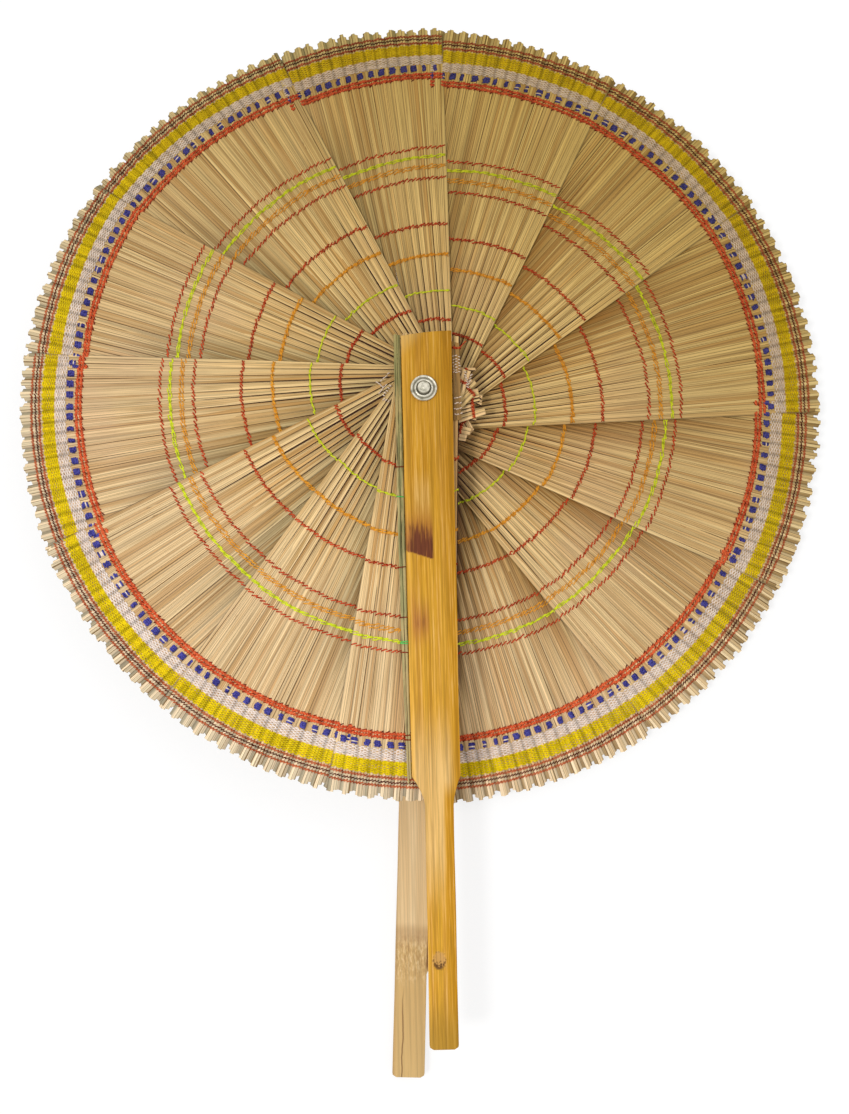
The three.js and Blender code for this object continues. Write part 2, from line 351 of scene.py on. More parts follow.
# The outer skin of the culm, which makes the front slat: glossy, with fibres along it.
def skinFinish():
    finish = Finish("bamboo_skin", skinLook, IOR=1.5, Specular_IOR_Level=0.14)
    across, down = finish.place().part("X") * 1000, finish.place().part("Y") * -1000
    fibres = finish.grain((900, 15, 60), 4, 0.75)
    streaks = finish.grain((520, 11, 20), 4, 0.7)
    broad = finish.grain((120, 9, 20))
    middle = 2.5 - down.rise(190, 310) * 0.8
    right = (across - middle + broad * 5).rise(7, 12)
    gripRight = (across - middle + broad * 3).rise(2.6, 5) * down.rise(188, 200)
    pale = down.within(168, 236, 18) * (1 - right) * (1 - gripRight)
    finish.colour = finish.mix(streaks.rise(0.34, 0.64), "amber", "honey")
    finish.coat((broad - streaks).rise(-0.1, 0.35) * 0.35, "straw")
    finish.coat(pale * (0.3 + broad * 0.9), "beige")
    finish.coat(right * 0.75 + gripRight * 0.7, "amber")
    finish.coat(fibres.rise(0.52, 0.66) * 0.45, "worn")
    finish.coat(across.fall(-9.4, -7.4) * 0.6, "side")
    finish.coat(down.rise(282, 306) * 0.85, "end")

    # Worn pale at the top left corner and above the dark scorch mark.
    corner = (down + across * 1.2 + fibres * 22).fall(-26, -14) * down.fall(-22, -4)
    rubbed = across.within(-6, 2, 2) * down.within(46, 62, 8) * fibres.rise(0.35, 0.6)
    finish.coat(corner * 0.7 + rubbed * 0.6, "worn")
    addScorches(finish, across, down, streaks, fibres)
    addBudScar(finish, down)
    finish.shade(0.77 + fibres.rise(0.36, 0.6) * 0.42)
    return finish.done(finish.paintedFalloff(), 0.4 + broad * 0.2, fibres, 0.06 * mm, 0.6)


innerLook = tints(
    cream=(240, 214, 168), tan=(220, 188, 138), low=(206, 171, 112), brown=(168, 128, 80),
    crack=(112, 76, 42),
)
backTurn = math.radians(2.6)  # the back slat is turned to the left


# The pale inner wood of the culm: a node with a rough scar on the grip, and a long crack.
def innerFinish():
    finish = Finish("bamboo_inner", innerLook, IOR=1.45, Specular_IOR_Level=0.35)
    place = finish.place(turn=backTurn)
    across, down = place.part("X") * 1000, place.part("Y") * -1000
    fibres = finish.grain((1100, 12, 60), 4, 0.7, backTurn)
    broad = finish.grain((120, 10, 20), turn=backTurn)
    pitted = finish.grain((1200, 330, 60), 3, 0.65, backTurn)
    finish.colour = finish.mix(broad.rise(0.35, 0.7), "tan", "cream")
    finish.coat((down + broad * 14).rise(265, 275), "low")
    finish.coat(fibres.rise(0.56, 0.74) * 0.4, "brown")
    finish.coat((down + broad * 4).within(258, 265, 2.5) * 0.45, "brown")
    scar = (down + pitted * 8).within(266, 284, 5)
    finish.coat(scar * pitted.rise(0.5, 0.62) * 0.5, "brown")
    finish.coat(scar * pitted.fall(0.36, 0.5) * 0.5, "cream")

    # Painted shade along the left edge of the grip, a painted shadow on the ledge on its right side
    # under the front grip, and the crack, which wanders.
    finish.coat((broad - across).rise(6.9, 8) * down.rise(190, 204) * 0.4, "brown")
    finish.coat(down.within(205, 276, 3) * (across + down * 0.018).rise(11.6, 12.3), "crack")
    wander = finish.grain((0, 60, 0), turn=backTurn)
    fromCrack = abs(across + 3.4 + (wander - 0.5) * 2.4)
    finish.coat(fromCrack.fall(0.1, 0.5) * down.rise(280, 300) * 0.8, "crack")
    finish.shade(0.86 + fibres.rise(0.34, 0.64) * 0.26)
    rough = fibres + scar * pitted * 2
    return finish.done(finish.colour, 0.55 + fibres * 0.2, rough, 0.12 * mm, 0.8)


paintLook = tints(
    green=(166, 160, 108), deep=(98, 94, 52), bare=(206, 182, 128), dark=(58, 44, 20),
)


# Green paint, worn through to the bamboo along the edges.
def paintFinish():
    finish = Finish("worn_green_paint", paintLook, Specular_IOR_Level=0.3)
    streaks = finish.grain((1500, 22, 60), 4, 0.6)
    wear = finish.grain((300, 40, 60), 4, 0.6)
    down = finish.place().part("Y") * -1000
    finish.colour = finish.mix(streaks.rise(0.4, 0.54), "deep", "green")
    finish.coat(wear.rise(0.48, 0.6) * 0.7, "bare")
    finish.coat(down.rise(120, 170) * 0.6, "bare")
    finish.coat(streaks.fall(0.34, 0.41), "dark")
    return finish.done(finish.paintedFalloff(), 0.5 + wear * 0.3, streaks, 0.1 * mm, 0.7)


metalLook = tints(bright=(208, 202, 184), dull=(148, 144, 126), groove=(98, 92, 72))
metalGrooves = [(3.3, 0.35), (4.95, 0.3)]  # radius and half width, in mm


def metalFinish():
    finish = Finish("dull_nickel", metalLook, Metallic=0.7)
    stain = finish.noise(finish.place(), 380, 3, 0.55)
    fine = finish.noise(finish.place(), 2400)
    radius = finish.place((1000, 1000, 0)).length()
    finish.colour = finish.mix(stain.rise(0.42, 0.72), "bright", "dull")
    for middle, half in metalGrooves:
        finish.coat(radius.within(middle - half, middle + half, 0.2) * 0.8, "groove")
    return finish.done(finish.colour, 0.32 + stain * 0.25, fine, 0.03 * mm, 0.5)


# Pieces

def addObject(name, data):
    made = bpy.data.objects.new(name, data)
    scene.collection.objects.link(made)
    return made


def addMesh(name, bm, material, sharpAngle=40):
    mesh = bpy.data.meshes.new(name)
    bm.to_mesh(mesh)
    bm.free()
    mesh.shade_smooth()
    mesh.set_sharp_from_angle(angle=math.radians(sharpAngle))
    mesh.materials.append(material)
    return addObject(name, mesh)


def facesOf(made):
    return {face for vertex in made["verts"] for face in vertex.link_faces}


def extrudeTo(bm, faces, z):
    made = bmesh.ops.extrude_face_region(bm, geom=faces)
    for vertex in [g for g in made["geom"] if isinstance(g, bmesh.types.BMVert)]:
        vertex.co.z = z


def roundEdges(bm, size, segments, sharpFrom=50):
    bmesh.ops.recalc_face_normals(bm, faces=bm.faces)
    corners = [e for e in bm.edges if e.calc_face_angle(0) > math.radians(sharpFrom)]
    bmesh.ops.bevel(
        bm, geom=corners, offset=size, offset_type="OFFSET", segments=segments,
        profile=0.5, affect="EDGES", clamp_overlap=True, material=-1,
    )


# The leaf. Sizes are the model's own; heights are above a section's lowest face.
leaf = Table(
    inMetres(
        radius=200, tip=198.8, toothDepth=2.7,
        # Half widths of a section beside the rivet, on its first side and on the other one.
        # The first section is narrower, and so stays hidden behind the slat.
        bundleFirst=19.2, bundleLast=14.8, firstNarrower=1.3,
        splintWidth=1.64, splintThickness=0.25, crown=0.05, foldLow=0.35, foldRise=1.0,
        # In a folded pleat: the lowest splint, and from there to the next one.
        layerBottom=0.24, layer=0.28,
        # The radii between which the pleats open, the splints widen, their ends darken, and
        # the step to the next section is eased away.
        openRadii=(45, 140), wideningRadii=(30, 120), fringeRadii=(183, 193), easeRadii=(60, 165),
    ),
    sectionAngles=[16, 26, 28, 29, 27.5, 34, 25, 27, 28, 33.5, 27, 27.5, 34.5],
    startAngle=-2, overlapAngle=0.6, pleatAngle=1.8, layerTilt=6,
    # Length past the rivet of each section's first and last pleats, in mm.
    innerEnds=[(29.6, 29), (19, 15), (25, 13), (28.5, 27), (28, 27), (28, 28), (28, 28)],
    widening=1.18,
    tipSlant=0.4,  # how much a splint's own end follows the tooth
    stepEase=0.75,
    # How far each section's rings lie out of place at its two ends, in mm, near three radii.
    ringRadii=(54, 125, 174),
    ringShifts=[
        ((-2.2, 0.2), (-0.8, -1.3), (-1.8, -1.2)), ((-1.8, -0.8), (-2.6, -0.6), (-2.4, -1.2)),
        ((-4.2, 4.2), (-1.9, 1.9), (-1.1, 0.7)), ((-2.6, 3.6), (-1.9, 0.8), (-1.1, -0.1)),
        ((-2.6, 6.1), (-3.1, 5.3), (-1.9, 3.4)), ((-1.9, 5.9), (-0.7, 4.9), (3, 2.2)),
        ((-4.8, 3.8), (-4.1, 4.6), (-2.2, 2.8)), ((-7, 1), (-4.6, 2.4), (-1.6, 0.8)),
        ((-4.9, 2.9), (-3.7, 3.1), (0.6, 1)), ((-2.3, 2.5), (-1.1, -0.5), (1.6, -0.5)),
        ((-1.8, 0.6), (-3.6, -2.4), (-2.6, -2.2)), ((-2.1, 0.1), (-3.6, -2.8), (-3.4, -2.6)),
        ((-1.5, 0), (-2.1, -3.1), (-3.2, -1.7)),
    ],
    foldOffsets=(0, 0.16, 0.32, 0.44),  # of the four splints of a pleat at the rivet, in pleats
    # Painted shade on the splints' ends near the rim, set by each splint's place in its pleat.
    fringeDims=(0.15, 0.6, 0, 1),  # how dark each splint of a pleat is at its end
    stations=[-29, -14, 0, 12, 24, 38, 52, 68, 84, 100, 118, 136, 154, 168, 180, 190, 199],
)
perPleat = 4
splintArc = math.radians(leaf.pleatAngle / perPleat) * leaf.radius
slopeAngle = math.atan(leaf.foldRise / (2 * splintArc))


def sectionList():
    sections = []
    edge = leaf.startAngle
    last = len(leaf.sectionAngles)
    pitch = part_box("leaf_section_01")[0].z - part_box("leaf_section_02")[0].z
    for number, angle in enumerate(leaf.sectionAngles, 1):
        centre = edge + angle / 2
        pleats = round((angle + 2 * leaf.overlapAngle) / leaf.pleatAngle)
        sections.append(Table(
            label=f"{number:02d}",
            centre=centre,
            turn=Matrix.Rotation(-math.radians(centre), 3, "Z"),
            half=math.radians(angle / 2 + leaf.overlapAngle),
            pleats=pleats,
            splints=pleats * perPleat,
            base=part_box(f"leaf_section_{number:02d}")[0].z,
            halfStep=pitch / 2,
            isFirst=number == 1,
            isLast=number == last,
            innerEnds=leaf.innerEnds[min(number, len(leaf.innerEnds)) - 1],
            ringShift=leaf.ringShifts[number - 1],
            bundleFirst=leaf.bundleFirst - (leaf.firstNarrower if number == 1 else 0),
            above=sections[-1] if sections else None,
        ))
        edge += angle
    return sections


# The straight line of a splint: where it passes the rivet, and its direction.
def splintLine(section, innerSide, outerSide):
    half = section.bundleFirst if innerSide < 0 else leaf.bundleLast
    start = Vector((-innerSide * half, 0, 0))
    angle = outerSide * section.half
    rim = Vector((-math.sin(angle), -math.cos(angle), 0)) * leaf.radius
    return start, (rim - start).normalized()


def reachAt(line, radius):
    start, direction = line
    along = start.dot(direction)
    return math.sqrt(along * along - start.length_squared + radius * radius) - along


# 0 at a low fold and 1 at a high one, with the place counted in splints.
def foldShare(place):
    return 1 - abs(place % perPleat / 2 - 1)


def openShare(radius):
    return smooth(*leaf.openRadii, radius)


# Near the rim a section leans down clockwise, so that it runs on into the next one.
def lean(section, side, radius):
    if section.isFirst:
        side = max(side, 0)
    if section.isLast:
        side = min(side, 0)
    return -side * section.halfStep * leaf.stepEase * smooth(*leaf.easeRadii, radius)


def stackedHeight(layersBelow):
    return leaf.layerBottom + leaf.layer * layersBelow


def openedHeight(place):
    return leaf.foldLow + leaf.foldRise * foldShare(place)


# The leaf's height at a place: on top of a folded pleat, or in the middle of an open one.
def sheetHeight(section, place, radius):
    side = 2 * place / section.splints - 1
    top = stackedHeight(perPleat - 1) + 0.1 * mm
    return blend(top, openedHeight(place), openShare(radius)) + lean(section, side, radius)


def inFrame(section, point, height):
    return section.turn @ Vector((point.x, point.y, 0)) + Vector((0, 0, section.base + height))


# The ragged edge: each pleat ends in a rounded tooth, highest on the high fold.
def tipRadius(section, place):
    pleat = min(max(int(place // perPleat), 0), section.pleats - 1)
    depth, back, shift = section.teeth[pleat]
    fold = foldShare(min(max(place + shift, pleat * perPleat), (pleat + 1) * perPleat - 0.001))
    return leaf.tip - leaf.toothDepth * depth * (1 - math.sin(fold * math.pi / 2)) - back


# The radii between which the painted shadows on the leaf come in and go out, and how far
# they reach. A section's grows with the radius; the slat's is given at two radii, in mm.
sectionShadow = Table(inMetres(near=(14, 26), far=(105, 170), reach=4), growth=0.15)
slatShadow = Table(edge=13, near=(6, 26), far=(120, 190), reach=(20, 6), radii=(30, 120))


# How much a place lies in the painted shadow beside the section on top of it.
def dimShare(section, point):
    above = section.above
    if above is None:
        return 0
    start, direction = splintLine(above, 1, 1)
    aside = above.turn @ Vector((direction.y, -direction.x, 0))
    flat = section.turn @ Vector((point.x, point.y, 0))
    distance = (flat - above.turn @ start).dot(aside)
    radius = point.length
    fade = smooth(*sectionShadow.near, radius) * (1 - smooth(*sectionShadow.far, radius))
    reach = sectionShadow.reach + sectionShadow.growth * radius
    return (1 - smooth(0, reach, distance)) * fade


# The same painted shadow for the right side of the front slat: 2 in its deepest shadow, near the
# rivet.
def slatDim(flat):
    aside, down = flat.x / mm - slatShadow.edge, -flat.y / mm
    reach = blend(*slatShadow.reach, smooth(*slatShadow.radii, down))
    fade = smooth(*slatShadow.near, down) * (1 - smooth(*slatShadow.far, down) * 0.5)
    return 2 * (1 - smooth(0, reach, abs(aside))) * fade


# How single splints differ.
variety = Table(
    place=0.06, placeAtRivet=0.05,  # in splints, and in pleats
    widths=(0.97, 1.05), firstWidth=1.3,
    tones=(0.48, 0.73),  # towards a section's first side, and towards its last
    toneSpread=0.34,
    # Painted shade: how much darker in tone the side of a pleat that falls clockwise is made.
    darkerSide=0.14,  # the side of a pleat that falls clockwise
    lift=0.02, oddLift=0.06, tip=0.22, innerEnd=0.2,  # in mm
    twist=2.5,
    besideSlat=(0.3, 0.85, 1, 1),  # how much of the slat's shadow falls on it
)
# The dark gaps beside the splints, painted for the shade between them: how wide, in splint widths,
# and to which radius, in mm.
gaps = Table(
    none=-0.2,
    nearest=64, farthest=(134, 188),  # towards a section's first side, and towards its last
    # For these splints of a pleat: how many have one (at the same two sides), the least
    # and the most.
    splints={0: ((0.55, 1), 0.22, (0.42, 0.72)), 2: ((0.3, 0.8), 0.14, (0.32, 0.32))},
    firstWidths=(0.15, 0.45), firstEnds=(120, 330),  # from and to, in the first section
)


def gapOf(section, k, nearEdge):
    start, end = gaps.none, dice.uniform(gaps.nearest, blend(*gaps.farthest, nearEdge))
    if k in gaps.splints:
        share, least, most = gaps.splints[k]
        if dice.random() < blend(*share, nearEdge):
            start = dice.uniform(least, blend(*most, nearEdge))
        if section.isFirst:
            start, end = dice.uniform(*gaps.firstWidths), dice.uniform(*gaps.firstEnds)
    return start, end * mm


def addSplint(bm, layers, section, pleat, k):
    place = pleat * perPleat + k + 0.5 + dice.gauss(0, variety.place)
    outer = 2 * place / section.splints - 1
    placeAtRivet = pleat + 0.36 + leaf.foldOffsets[k] + dice.gauss(0, variety.placeAtRivet)
    start, direction = splintLine(section, 2 * placeAtRivet / section.pleats - 1, outer)
    across = Vector((direction.y, -direction.x, 0))
    width = leaf.splintWidth * dice.uniform(*variety.widths)
    if section.isFirst and pleat == 0:
        width *= variety.firstWidth
    nearEdge = smooth(-0.3, 0.8, outer)
    tone = dice.gauss(blend(*variety.tones, nearEdge), variety.toneSpread)
    # Painted shade: splints on the side of a pleat that falls clockwise are given a darker tone.
    tone = min(max(tone - (variety.darkerSide if k > 1 else 0), 0), 1)
    gapStart, gapEnd = gapOf(section, k, nearEdge)
    lift = ((variety.oddLift if k % 2 else 0) + dice.gauss(0, variety.lift)) * mm
    slope = slopeAngle if k < 2 else -slopeAngle
    twist = math.radians(dice.gauss(0, variety.twist))
    beside = 0.1 if section.isFirst else dice.choice(variety.besideSlat)
    stations = [s * mm for s in leaf.stations]
    stations[0] = -section.ends[pleat] - dice.uniform(-1, 1) * variety.innerEnd * mm
    stations[1] = stations[0] / 2
    last = len(stations) - 1
    ragged = dice.gauss(0, variety.tip) * mm
    made = bmesh.ops.create_grid(bm, x_segments=last, y_segments=2, size=0.5, calc_uvs=True)
    offset = dice.uniform(0, 50)
    for vertex in made["verts"]:
        station = round((vertex.co.x + 0.5) * last)
        aside = vertex.co.y
        reach = stations[station]
        if station == last:
            tip = tipRadius(section, place + aside * leaf.tipSlant) + ragged
            reach = reachAt((start, direction), tip)
        point = start + direction * reach
        radius = point.length if reach > 0 else 0
        share = openShare(radius)
        wide = width * blend(1, leaf.widening, smooth(*leaf.wideningRadii, radius))
        tilt = blend(math.radians(leaf.layerTilt), slope, share) + twist
        height = blend(stackedHeight(perPleat - 1 - k), openedHeight(k + 0.5), share)
        height += lean(section, outer, radius) + lift
        height += leaf.crown * (1 - abs(aside) * 2) + aside * wide * math.sin(tilt)
        point = point + across * (aside * wide * math.cos(tilt))
        vertex.co = inFrame(section, point, height)
        vertex[layers["tone"]] = tone + (0.9 if reach < 0 else 0)
        vertex[layers["ridge"]] = blend(0.5, foldShare(k + 0.5 + aside), share)
        # Painted shade and shadows: on the fringe, beside the section on top, and beside the slat.
        fringeDim = smooth(*leaf.fringeRadii, radius) * leaf.fringeDims[k]
        flat = section.turn @ point
        dim = max(dimShare(section, point), slatDim(flat) * beside, fringeDim)
        vertex[layers["dim"]] = dim if reach > 0 else 0
        vertex[layers["gap"]] = gapStart * (1 - max(radius, 10 * mm) / gapEnd)
    for face in facesOf(made):
        for loop in face.loops:
            u, v = loop[layers["strip"]].uv
            loop[layers["strip"]].uv = (offset + stations[round(u * last)], min(max(v, 0.001), 0.999))


# Each pleat's tooth (how deep, how far back, how far aside) and its length past the rivet.
def shapePleats(section):
    first, last = section.innerEnds
    section.teeth, section.ends = [], []
    step = 0
    for pleat in range(section.pleats):
        depth, back = dice.uniform(0.5, 1.4), abs(dice.gauss(0, 0.55)) * mm
        section.teeth.append((depth, back, dice.uniform(-0.8, 0.8)))
        if pleat % 2 == 0:
            step = dice.uniform(-0.6, 0.2) if section.isFirst else dice.choice((-4.5, -1, 0, 0.6, 1))
        section.ends.append((blend(first, last, (pleat + 0.5) / section.pleats) + step) * mm)


def splintPiece(section, material):
    shapePleats(section)
    bm = bmesh.new()
    layers = {name: bm.verts.layers.float.new(name) for name in ("tone", "gap", "ridge", "dim")}
    layers["strip"] = bm.loops.layers.uv.new("strip")
    for pleat in range(section.pleats):
        for k in range(perPleat):
            addSplint(bm, layers, section, pleat, k)
    bmesh.ops.recalc_face_normals(bm, faces=bm.faces)
    bmesh.ops.solidify(bm, geom=bm.faces[:], thickness=leaf.splintThickness)
    bmesh.ops.recalc_face_normals(bm, faces=bm.faces)
    return addMesh(f"leaf_splints_{section.label}", bm, material, 50)


# Threads. Each is a poly curve with a round section, drawn taller and then pressed flat.
# The fourth value of a point says how high its fold is, from 0 to 1.
threads = Table(flatness=0.62, sides=1, weld=0.001 * mm)


# A ring drifts a little along its way, and it steps at each seam.
def ringRadius(section, place, radius):
    share = place / section.splints
    angle = math.radians(section.centre) + (2 * share - 1) * section.half
    drift = noise.noise(Vector((math.cos(angle) * 9, math.sin(angle) * 9, radius * 400)))
    inner, middle, outer = (blend(start, end, share) for start, end in section.ringShift)
    low, mid, high = (r * mm for r in leaf.ringRadii)
    shift = blend(inner, blend(middle, outer, smooth(mid, high, radius)), smooth(low, mid, radius))
    shift *= 1 - 0.4 * smooth(176 * mm, 193 * mm, radius)
    return radius + (drift * 0.4 + shift) * mm


# A point of a thread on the leaf: at a radius, or past the rivet where radius is below 0.
# sign is 1 over the splints and -1 under them.
def laid(section, place, radius, sign, thick, offset=0):
    side = 2 * place / section.splints - 1
    line = splintLine(section, side, side)
    reach = reachAt(line, ringRadius(section, place, radius)) if radius > 0 else radius
    above = leaf.splintThickness / 2 + thick * threads.flatness
    height = sheetHeight(section, place, max(radius, 0)) + sign * above
    return Vector((*inFrame(section, line[0] + line[1] * (reach + offset), height), foldShare(place)))


# Over and under: a thread floats over one group of splints, then runs under as many.
def weaveRow(section, radius, thick, span, shift):
    points = []
    for unit in range(section.splints // span):
        sign = 1 if (unit + shift) % 2 == 0 else -1
        for share in (0.16, 0.84) if span == 1 else (0.08, 0.5, 0.92):
            points.append(laid(section, (unit + share) * span, radius, sign, thick))
    return points


# One of two threads that cross between the splints, over one group and under the next.
def twinedRow(section, radius, thick, span, swing, strand):
    points = []
    uneven = 0.24 * mm if span > 1 else 0.08 * mm
    for unit in range(section.splints // span):
        sign = 1 if (unit + strand) % 2 == 0 else -1
        shift = dice.gauss(0, 1) * uneven
        for share, lift in ((0.06, 0.6), (0.3, 1), (0.7, 1), (0.94, 0.6)):
            aside = (share - 0.5) * 2 * swing * sign + shift
            points.append(laid(section, (unit + share) * span, radius, sign * lift, thick, aside))
    return points


# The coloured dashes: on one face of each pleat, a few short floats side by side.
# Now and then one of the inner ones is white. Lengths are counted in splints.
dashes = Table(
    radii=(173.1, 173.9, 174.7, 175.5), thick=0.46 * mm, whiteShare=0.15,
    lengths=(1.2, 1.8, 2, 2.2, 2.3),
)


def dashRows(section):
    rows = {"blue": [], "white": []}
    for pleat in range(section.pleats):
        start = pleat * perPleat + dice.uniform(-0.1, 0.5)
        length = dice.choice(dashes.lengths) + dice.uniform(-0.1, 0.1)
        for index, radius in enumerate(dashes.radii):
            isWhite = index in (1, 2) and dice.random() < dashes.whiteShare
            first = max(start + dice.uniform(-0.2, 0.2), 0)
            span = length * (0.86 if index in (0, 3) else 1) * (0.7 if isWhite else 1)
            first += (length - span) / 2
            lift = 0.55 if isWhite else 1
            steps = ((0, -1), (0.12, lift), (0.5, lift * 1.1), (0.88, lift), (1, -1))
            rows["white" if isWhite else "blue"].append(
                [laid(section, first + span * s, radius * mm, z, dashes.thick) for s, z in steps]
            )
    return rows


def threadPiece(name, rows, thick, material):
    curve = bpy.data.curves.new(name, "CURVE")
    curve.dimensions = "3D"
    curve.bevel_depth = thick
    curve.bevel_resolution = threads.sides
    curve.use_fill_caps = True
    for row in rows:
        spline = curve.splines.new("POLY")
        spline.points.add(len(row) - 1)
        for knot, point in zip(spline.points, row):
            knot.co = (point.x, point.y, point.z / threads.flatness, 1)
    drawn = bpy.data.objects.new(name, curve)
    mesh = bpy.data.meshes.new_from_object(drawn)
    bpy.data.objects.remove(drawn)
    mesh.transform(Matrix.Diagonal((1, 1, threads.flatness, 1)))
    bm = bmesh.new()
    bm.from_mesh(mesh)
    bpy.data.meshes.remove(mesh)
    bmesh.ops.remove_doubles(bm, verts=bm.verts, dist=threads.weld)
    bmesh.ops.recalc_face_normals(bm, faces=bm.faces)

    points = [point for row in rows for point in row]
    nearest = kdtree.KDTree(len(points))
    for index, point in enumerate(points):
        nearest.insert(point.to_3d(), index)
    nearest.balance()
    ridge = bm.verts.layers.float.new("ridge")
    for vertex in bm.verts:
        vertex[ridge] = points[nearest.find(vertex.co)[1]].w
    return addMesh(name, bm, material, 180)


# Each colour's rows in a section. Woven rows: radius in mm, splints to a float, and which
# float comes first. Twined rows: radius, splints to a float, swing in mm, and the strand.
def rowsOf(count, first, pitch):
    return [(first + pitch * row, 1, row) for row in range(count)]


def twin(radii, span, swing):
    return [(radius, span, swing, strand) for radius in radii for strand in (0, 1)]


bands = {
    "yellow": {
        "thick": 0.46, "woven": rowsOf(12, 182.0, 0.51),
        "node": "yellow_weave", "slot": "yellow_cotton",
    },
    "white": {
        "thick": 0.44, "woven": rowsOf(9, 176.75, 0.57),
        "node": "white_weave", "slot": "white_cotton",
    },
    "blue": {"thick": 0.46},
    "orange_red": {"thick": 0.48, "twined": twin((169.1, 170.9), 1, 0.48)},
    "rust": {"thick": 0.27, "twined": twin((168.9, 170.9), 2, 0.9)},
    "umber": {"thick": 0.28, "twined": twin((191.05,), 1, 0.4)},
    "brown": {"thick": 0.38, "twined": twin((192.9, 189.2), 1, 0.45)},
    "dark_red": {"thick": 0.34, "twined": twin((129.6, 113.0, 88.7, 39.4, -1), 2, 0.62)},
    "lime": {"thick": 0.32, "twined": twin((125.1, 124.4, 54.0), 2, 0.22)},
    "orange": {"thick": 0.28, "twined": twin((119.8, 118.5, 73.1, 72.5), 2, 0.42)},
}
threadColours = {
    "yellow": ((240, 214, 20), (208, 176, 8)),
    "white": ((246, 232, 222), (224, 202, 184)),
    "blue": ((86, 84, 168), (44, 40, 104)),
    "orange_red": ((240, 116, 68), (186, 58, 30)),
    "rust": ((150, 52, 26), (84, 24, 12)),
    "umber": ((112, 44, 22), (54, 18, 8)),
    "brown": ((210, 118, 76), (136, 56, 28)),
    "dark_red": ((222, 88, 46), (150, 38, 14)),
    "lime": ((230, 240, 52), (206, 222, 34)),
    "orange": ((246, 174, 56), (228, 148, 40)),
    "green": ((112, 214, 110), (66, 160, 78)),
}


def rideLeaf(piece, section):
    number = section.label
    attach(piece, f"leaf_{number}")
    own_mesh(piece)


def buildLeaf():
    splints = splintFinish()
    finishes = {name: threadFinish(name, *pair) for name, pair in threadColours.items()}
    sections = sectionList()
    for section in sections:
        piece = splintPiece(section, splints)
        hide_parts(f"leaf_section_{section.label}")
        rideLeaf(piece, section)
        extra = dashRows(section)
        for name, band in bands.items():
            thick = band["thick"] * mm
            rows = []
            for radius, span, shift in band.get("woven", []):
                rows.append(weaveRow(section, radius * mm, thick, span, shift))
            for radius, span, swing, strand in band.get("twined", []):
                place = radius if radius > 0 else 5.5 - section.innerEnds[0]
                rows.append(twinedRow(section, place * mm, thick, span, swing * mm, strand))
            rows += extra.get(name, [])
            piece = threadPiece(f"{name}_threads_{section.label}", rows, thick, finishes[name])
            if "node" in band:
                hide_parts(f"{band['node']}_{section.label}")
            rideLeaf(piece, section)
        print("leaf section", section.label, "with", section.splints, "splints")
    buildStitches(sections, finishes, splints)
    buildStartStick(finishes)


# Stitches beside the rivet, as short floats in rows: the section, the thread, the height
# in mm, and the rows. Each row has a start and an end (x, y), a count, and the half length
# (x, y) of a float, in mm.
stitches = [
    (1, "white", 33.18, [
        ((16.2, 17.6), (16.2, 9.2), 7, (0.55, 0.1)), ((17.7, 17.2), (17.7, 9.4), 6, (0.4, -0.1)),
        ((14.9, 17.4), (14.9, 9.2), 6, (0.3, 0.1)), ((16.2, -3.6), (16.4, -12), 4, (0.6, 0.1)),
        ((17.7, -3.4), (18, -11.6), 4, (0.45, 0.2)), ((15, -3.8), (15, -11.8), 4, (0.3, 0)),
    ]),
    (1, "dark_red", 33.18, [
        ((15.2, 22.2), (17.6, 21.8), 3, (0.8, 0.1)), ((15.3, 21.4), (17.4, 21.2), 3, (0.7, -0.1)),
        ((18.7, 22.4), (20.8, 24.6), 3, (0.6, 0.6)),
    ]),
    (2, "white", 31.0, [
        ((-17, 10), (-20.6, 6.6), 4, (0.5, 0.3)), ((-16.4, 3.6), (-19.6, -1), 5, (0.5, -0.3)),
        ((-17.2, -4), (-19.4, -3), 3, (0.5, 0.4)), ((20.5, 9.8), (21.6, 2.4), 7, (0.5, -0.3)),
        ((23.6, 8.2), (22.2, 4), 4, (0.5, 0.3)),
    ]),
    (3, "white", 28.9, [
        ((-22.8, 6.4), (-20.6, 4.2), 3, (0.6, -0.4)), ((-21.4, 1.4), (-18.4, 4.6), 4, (0.5, 0.4)),
    ]),
]
stitchShape = Table(thick=0.27 * mm, below=0.6, above=0.2, uneven=(0.15, 0.25))
# Two flat strips that close the first section's bundle beside the slat: left and right, in mm.
bundleStrips = Table(
    sides=((14.35, 15.45), (15.75, 18.0)), top=25.2, bottom=-15,
    slant=0.3, low=33.02, high=33.27,
)


def shortThread(start, end, low, high):
    points = []
    for share, z in ((0, low), (0.08, high), (0.5, high), (0.92, high), (1, low)):
        point = start.lerp(end, share)
        points.append(Vector((point.x, point.y, z, 1)))
    return points


def buildStitches(sections, finishes, splints):
    unevenX, unevenY = stitchShape.uneven
    for number, thread, z, lines in stitches:
        section = sections[number - 1]
        low, high = (z - stitchShape.below) * mm, (z + stitchShape.above) * mm
        rows = []
        for start, end, count, half in lines:
            for index in range(count):
                middle = Vector(start).lerp(Vector(end), index / (count - 1))
                middle += Vector((dice.uniform(-unevenX, unevenX), dice.uniform(-unevenY, unevenY)))
                ends = [(middle + Vector(half) * way) * mm for way in (-1, 1)]
                rows.append(shortThread(*ends, low, high))
        name = f"{thread}_stitches_{section.label}"
        rideLeaf(threadPiece(name, rows, stitchShape.thick, finishes[thread]), section)

    bm = bmesh.new()
    bm.loops.layers.uv.new("strip")
    for left, right in bundleStrips.sides:
        made = bmesh.ops.create_cube(bm, size=1, calc_uvs=True)
        for vertex in made["verts"]:
            x, y, z = vertex.co + Vector((0.5, 0.5, 0.5))
            across = blend(left, right, x)
            top = bundleStrips.top - (across - 14) * bundleStrips.slant
            height = blend(bundleStrips.low, bundleStrips.high, z)
            vertex.co = Vector((across, blend(bundleStrips.bottom, top, y), height)) * mm
    rideLeaf(addMesh("bundle_strips", bm, splints), sections[0])


